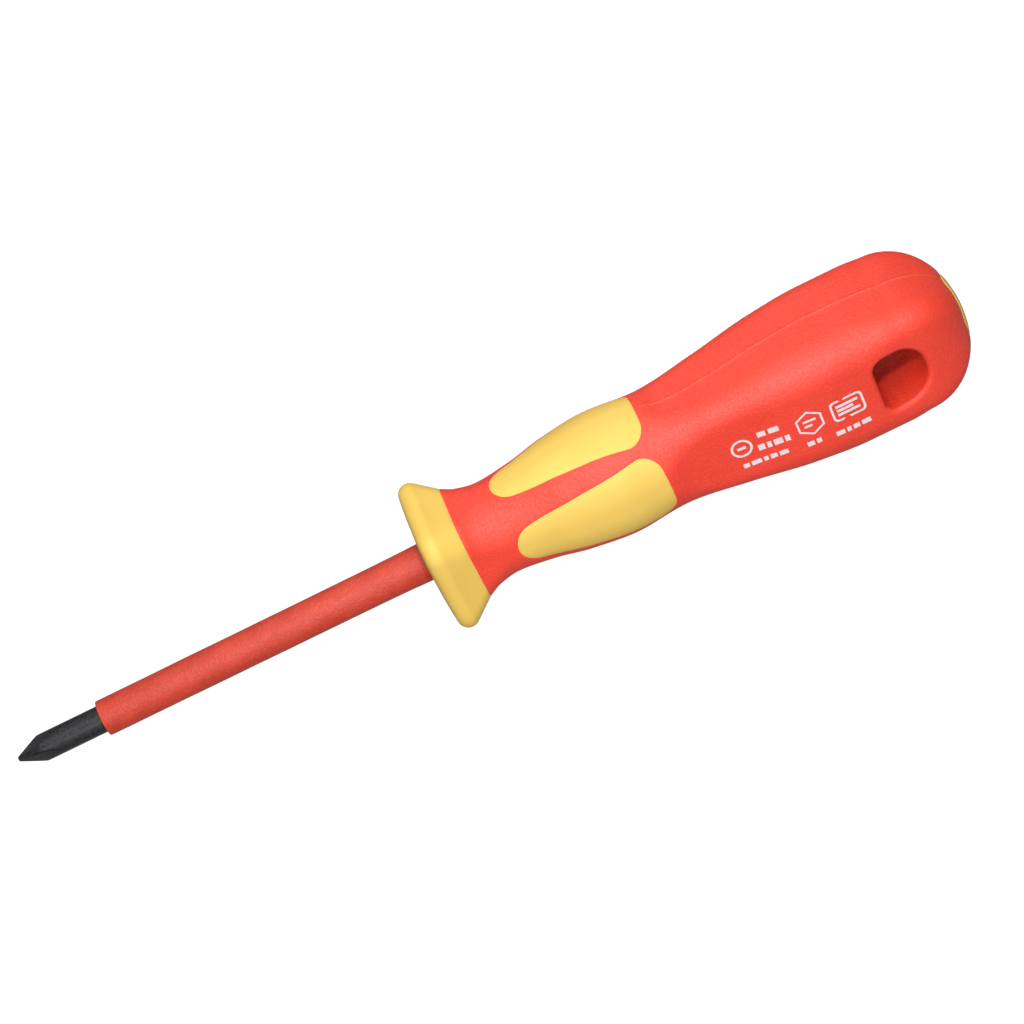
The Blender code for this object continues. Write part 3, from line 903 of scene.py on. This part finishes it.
class Look:
    """A material under construction, with object coordinates in metres."""

    def __init__(self, name):
        self.material = bpy.data.materials.new(name)
        self.material.use_nodes = True
        self.nodes = self.material.node_tree.nodes
        self.links = self.material.node_tree.links
        self.shader = self.nodes["Principled BSDF"]
        self.place = self.nodes.new("ShaderNodeTexCoord").outputs["Object"]

    def stretched(self, stretch):
        mapping = self.nodes.new("ShaderNodeMapping")
        mapping.inputs["Scale"].default_value = stretch
        self.links.new(self.place, mapping.inputs["Vector"])
        return mapping.outputs["Vector"]

    def noise(self, size_mm, detail=3.0, roughness=0.55, stretch=None):
        node = self.nodes.new("ShaderNodeTexNoise")
        node.inputs["Scale"].default_value = 1.0 / (size_mm * MM)
        node.inputs["Detail"].default_value = detail
        node.inputs["Roughness"].default_value = roughness
        self.links.new(self.stretched(stretch) if stretch else self.place, node.inputs["Vector"])
        return node.outputs["Fac"]

    def ranged(self, value, low, high, to_low, to_high):
        node = self.nodes.new("ShaderNodeMapRange")
        node.inputs["From Min"].default_value = low
        node.inputs["From Max"].default_value = high
        node.inputs["To Min"].default_value = to_low
        node.inputs["To Max"].default_value = to_high
        self.links.new(value, node.inputs["Value"])
        return node.outputs["Result"]

    def mixed(self, factor, first, second):
        node = self.nodes.new("ShaderNodeMix")
        node.data_type = "RGBA"
        self.links.new(factor, node.inputs["Factor"])
        for socket, value in (("A", first), ("B", second)):
            target = [s for s in node.inputs if s.name == socket and s.type == "RGBA"][0]
            if isinstance(value, tuple):
                target.default_value = value
            else:
                self.links.new(value, target)
        return [s for s in node.outputs if s.type == "RGBA"][0]

    def multiplied(self, first, second):
        node = self.nodes.new("ShaderNodeMath")
        node.operation = "MULTIPLY"
        self.links.new(first, node.inputs[0])
        self.links.new(second, node.inputs[1])
        return node.outputs["Value"]

    def coordinate(self, axis):
        node = self.nodes.new("ShaderNodeSeparateXYZ")
        self.links.new(self.place, node.inputs["Vector"])
        return node.outputs[axis]

    def near_middle(self, axis, inner_mm, outer_mm):
        """1 within inner_mm of the middle plane across an axis, falling to 0 at outer_mm."""
        node = self.nodes.new("ShaderNodeMath")
        node.operation = "ABSOLUTE"
        self.links.new(self.coordinate(axis), node.inputs[0])
        return self.ranged(node.outputs["Value"], inner_mm * MM, outer_mm * MM, 1.0, 0.0)

    def beyond(self, axis, start_mm):
        """0 before start_mm along an axis, 1 a little after it."""
        return self.ranged(self.coordinate(axis), start_mm * MM, (start_mm + 0.3) * MM, 0.0, 1.0)

    def bumped(self, height, strength, distance_mm, normal=None):
        node = self.nodes.new("ShaderNodeBump")
        node.inputs["Strength"].default_value = strength
        node.inputs["Distance"].default_value = distance_mm * MM
        self.links.new(height, node.inputs["Height"])
        if normal:
            self.links.new(normal, node.inputs["Normal"])
        return node.outputs["Normal"]

    def feed(self, socket, value):
        target = self.shader.inputs[socket]
        if isinstance(value, (int, float, tuple)):
            target.default_value = value
        else:
            self.links.new(value, target)


def cover_look():
    """Matte red moulding with a fine spark-eroded grain, and a painted highlight, a paler red, along
    the line where the mould parted.
    """
    look = Look("red_moulding")
    mottle = look.ranged(look.noise(14.0, 2.0), 0.35, 0.65, 0.0, 1.0)
    base = look.mixed(mottle, (0.630, 0.028, 0.009, 1.0), (0.670, 0.033, 0.012, 1.0))
    grain = look.noise(0.46, 2.0, 0.6)
    fine = look.noise(0.20, 2.0, 0.6)
    peaks = look.ranged(grain, 0.52, 0.72, 0.0, 0.26)
    grained = look.mixed(peaks, base, (0.78, 0.090, 0.056, 1.0))
    # painted highlight: a paler red along the top and bottom moulding lines, standing in for the light
    # that the raised ridge catches
    line = look.multiplied(look.near_middle("Y", 0.10, 0.26), look.beyond("X", PARTING_START))
    painted_line_highlight = look.multiplied(line, look.ranged(look.noise(0.9, 2.0), 0.35, 0.60, 0.15, 0.50))
    look.feed("Base Color", look.mixed(painted_line_highlight, grained, (0.76, 0.110, 0.060, 1.0)))
    look.feed("Specular IOR Level", 0.58)
    look.feed("Roughness", look.ranged(grain, 0.3, 0.7, 0.62, 0.48))
    coarse = look.bumped(grain, 0.9, 0.16)
    look.feed("Normal", look.bumped(fine, 0.6, 0.06, coarse))
    return look.material


def inlay_look():
    """Smooth satin yellow moulding."""
    look = Look("yellow_moulding")
    mottle = look.ranged(look.noise(9.0, 2.0), 0.35, 0.65, 0.0, 1.0)
    look.feed("Base Color", look.mixed(mottle, (0.612, 0.405, 0.075, 1.0), (0.642, 0.428, 0.085, 1.0)))
    grain = look.noise(0.5, 3.0, 0.6)
    look.feed("Specular IOR Level", 0.36)
    look.feed("Roughness", look.ranged(grain, 0.3, 0.7, 0.62, 0.54))
    look.feed("Normal", look.bumped(grain, 0.12, 0.04))
    return look.material


def sleeve_look():
    """Extruded red tube with lengthwise draw lines, specks and handling marks."""
    look = Look("red_tube")
    streak = look.noise(0.35, 3.0, 0.6, (0.06, 1.0, 1.0))
    speck = look.noise(0.45, 3.0, 0.65)
    worn = look.ranged(look.noise(5.0, 3.0, 0.6), 0.35, 0.65, 0.0, 1.0)
    base = look.mixed(worn, (0.400, 0.026, 0.009, 1.0), (0.450, 0.034, 0.013, 1.0))
    specked = look.ranged(speck, 0.52, 0.66, 0.0, 0.28)
    marked = look.mixed(specked, base, (0.62, 0.085, 0.050, 1.0))
    scratched = look.ranged(streak, 0.58, 0.72, 0.0, 0.26)
    look.feed("Base Color", look.mixed(scratched, marked, (0.60, 0.070, 0.045, 1.0)))
    look.feed("Specular IOR Level", 0.38)
    look.feed("Roughness", look.ranged(streak, 0.3, 0.7, 0.36, 0.52))
    lines = look.bumped(streak, 0.30, 0.05)
    look.feed("Normal", look.bumped(speck, 1.0, 0.15, lines))
    return look.material


def blade_look():
    """Black oxidised steel, a little speckled."""
    look = Look("black_steel")
    speck = look.noise(0.40, 4.0, 0.65)
    worn = look.ranged(speck, 0.4, 0.7, 0.0, 1.0)
    look.feed("Base Color", look.mixed(worn, (0.003, 0.003, 0.004, 1.0), (0.022, 0.022, 0.026, 1.0)))
    look.feed("Specular IOR Level", 0.40)
    look.feed("Roughness", look.ranged(speck, 0.3, 0.7, 0.25, 0.37))
    look.feed("Normal", look.bumped(speck, 0.30, 0.03))
    return look.material


def core_look():
    """Hard yellow inner moulding, out of sight."""
    look = Look("core_moulding")
    flow = look.noise(6.0, 2.0)
    look.feed("Base Color", look.mixed(flow, (0.46, 0.31, 0.06, 1.0), (0.50, 0.34, 0.07, 1.0)))
    look.feed("Roughness", look.ranged(flow, 0.3, 0.7, 0.45, 0.55))
    return look.material


def print_look():
    """White pad-printed ink, a little thin in places."""
    look = Look("white_ink")
    cover = look.ranged(look.noise(0.25, 3.0, 0.6), 0.35, 0.65, 0.0, 1.0)
    look.feed("Base Color", look.mixed(cover, (0.58, 0.44, 0.46, 1.0), (0.68, 0.62, 0.64, 1.0)))
    look.feed("Specular IOR Level", 0.30)
    look.feed("Roughness", look.ranged(cover, 0.0, 1.0, 0.60, 0.50))
    return look.material


# Camera, light and floor --------------------------------------------------------------------

def add_camera():
    """Looks down on the front edge at the view turn, rolled so that the tool climbs to the right."""
    distance = 600.0             # millimetres, and x counts from the point here
    foot_x = 115.0               # where a line square to the axis meets the camera
    target_x = 97.7
    target_rise = 1.2
    roll = math.radians(25.94)
    view_width = 180.44          # how much of the target's plane the picture shows
    sensor_width = 36.0
    outward = Vector((0.0, -math.cos(VIEW_TURN), math.sin(VIEW_TURN)))
    location = Vector((foot_x, 0.0, 0.0)) + outward * distance
    forward = (Vector((target_x, 0.0, 0.0)) - location).normalized()
    along = (Vector((1.0, 0.0, 0.0)) - forward * forward.x).normalized()
    above = (-forward).cross(along)
    lens_distance = (Vector((target_x, 0.0, 0.0)) - location).length
    location = location + above * target_rise
    right = along * math.cos(roll) - above * math.sin(roll)
    up = along * math.sin(roll) + above * math.cos(roll)
    camera_data = bpy.data.cameras.new("camera")
    camera_data.sensor_width = sensor_width
    camera_data.lens = sensor_width * lens_distance / view_width
    camera_data.clip_start = 0.01
    camera_data.clip_end = 20.0
    camera = bpy.data.objects.new("camera", camera_data)
    rotation = Matrix((right, up, -forward)).transposed()
    camera.matrix_world = Matrix.Translation(location * MM) @ rotation.to_4x4()
    bpy.context.scene.collection.objects.link(camera)
    bpy.context.scene.camera = camera


def add_lamp(name, x, elevation_degrees, distance, size, power):
    """Disk lamp square to the axis at x, at an elevation counted from the tool's front side."""
    elevation = math.radians(elevation_degrees)
    target = Vector((x, 0.0, 0.0))
    outward = Vector((0.0, -math.cos(elevation), math.sin(elevation)))
    data = bpy.data.lights.new(name, "AREA")
    data.shape = "DISK"
    data.size = size
    data.energy = power
    lamp = bpy.data.objects.new(name, data)
    lamp.location = target + outward * distance
    lamp.rotation_euler = outward.to_track_quat("Z", "Y").to_euler()
    bpy.context.scene.collection.objects.link(lamp)


# name, x from the point (m), elevation (degrees), distance (m), size (m), power (W)
LAMPS = (
    ("key", 0.135, 51.0, 0.36, 0.025, 0.62),
    ("softbox", 0.105, 70.0, 0.34, 0.32, 0.45),
    ("rear", 0.130, 115.0, 0.34, 0.32, 0.52),
    ("fill", 0.075, 22.0, 0.28, 0.22, 0.34),
)
SKY_UP = 0.20
SKY_DOWN = 0.38
SKY_FRONT = 0.66


def add_world():
    """Studio walls: dim above, a little brighter below, with a glow around the camera."""
    world = bpy.data.worlds.new("studio")
    world.use_nodes = True
    nodes = world.node_tree.nodes
    links = world.node_tree.links
    direction = nodes.new("ShaderNodeTexCoord").outputs["Generated"]

    def toward(axis, first, last, value):
        along = nodes.new("ShaderNodeVectorMath")
        along.operation = "DOT_PRODUCT"
        along.inputs[1].default_value = axis
        links.new(direction, along.inputs[0])
        ramp = nodes.new("ShaderNodeMapRange")
        ramp.interpolation_type = "SMOOTHSTEP"
        ramp.inputs["From Min"].default_value = first
        ramp.inputs["From Max"].default_value = last
        ramp.inputs["To Max"].default_value = value
        links.new(along.outputs["Value"], ramp.inputs["Value"])
        return ramp.outputs["Result"]

    def added(first, second):
        node = nodes.new("ShaderNodeMath")
        links.new(first, node.inputs[0])
        links.new(second, node.inputs[1])
        return node.outputs["Value"]

    up = toward((0.0, 0.0, 1.0), -0.3, 0.3, SKY_UP)
    down = toward((0.0, 0.0, -1.0), -0.3, 0.3, SKY_DOWN)
    front = toward((0.0, -math.cos(VIEW_TURN), math.sin(VIEW_TURN)), 0.2, 0.95, SKY_FRONT)
    background = nodes["Background"]
    links.new(added(added(up, down), front), background.inputs["Strength"])
    background.inputs["Color"].default_value = (1.0, 1.0, 1.0, 1.0)
    bpy.context.scene.world = world


def add_stage():
    """Paper that gives its own light, so that it stays white around the tool."""
    shape = bmesh.new()
    bmesh.ops.create_grid(shape, x_segments=1, y_segments=1, size=3.0)
    data = bpy.data.meshes.new("floor")
    shape.to_mesh(data)
    shape.free()
    floor = bpy.data.objects.new("floor", data)
    floor.location.z = FLOOR_Z * MM
    floor.visible_diffuse = False
    floor.visible_glossy = False
    look = Look("white_paper")
    soft = look.noise(60.0, 2.0)
    look.feed("Base Color", look.mixed(soft, (0.14, 0.14, 0.14, 1.0), (0.16, 0.16, 0.16, 1.0)))
    look.feed("Roughness", 0.9)
    look.feed("Specular IOR Level", 0.0)
    look.feed("Emission Color", (1.0, 1.0, 1.0, 1.0))
    look.feed("Emission Strength", 0.95)
    data.materials.append(look.material)
    bpy.context.scene.collection.objects.link(floor)


def build():
    red = cover_look()
    yellow = inlay_look()
    build_cover(red)
    build_pads(yellow)
    build_insert(yellow)
    build_print(print_look())
    build_guard(yellow)
    build_sleeve(sleeve_look())
    build_blade(blade_look())
    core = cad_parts["handle_core"]
    core.data.materials.clear()
    core.data.materials.append(core_look())
    add_camera()
    for lamp in LAMPS:
        add_lamp(*lamp)
    add_world()
    add_stage()
    settings = bpy.context.scene.view_settings
    settings.view_transform = "Standard"
    settings.look = "None"


build()
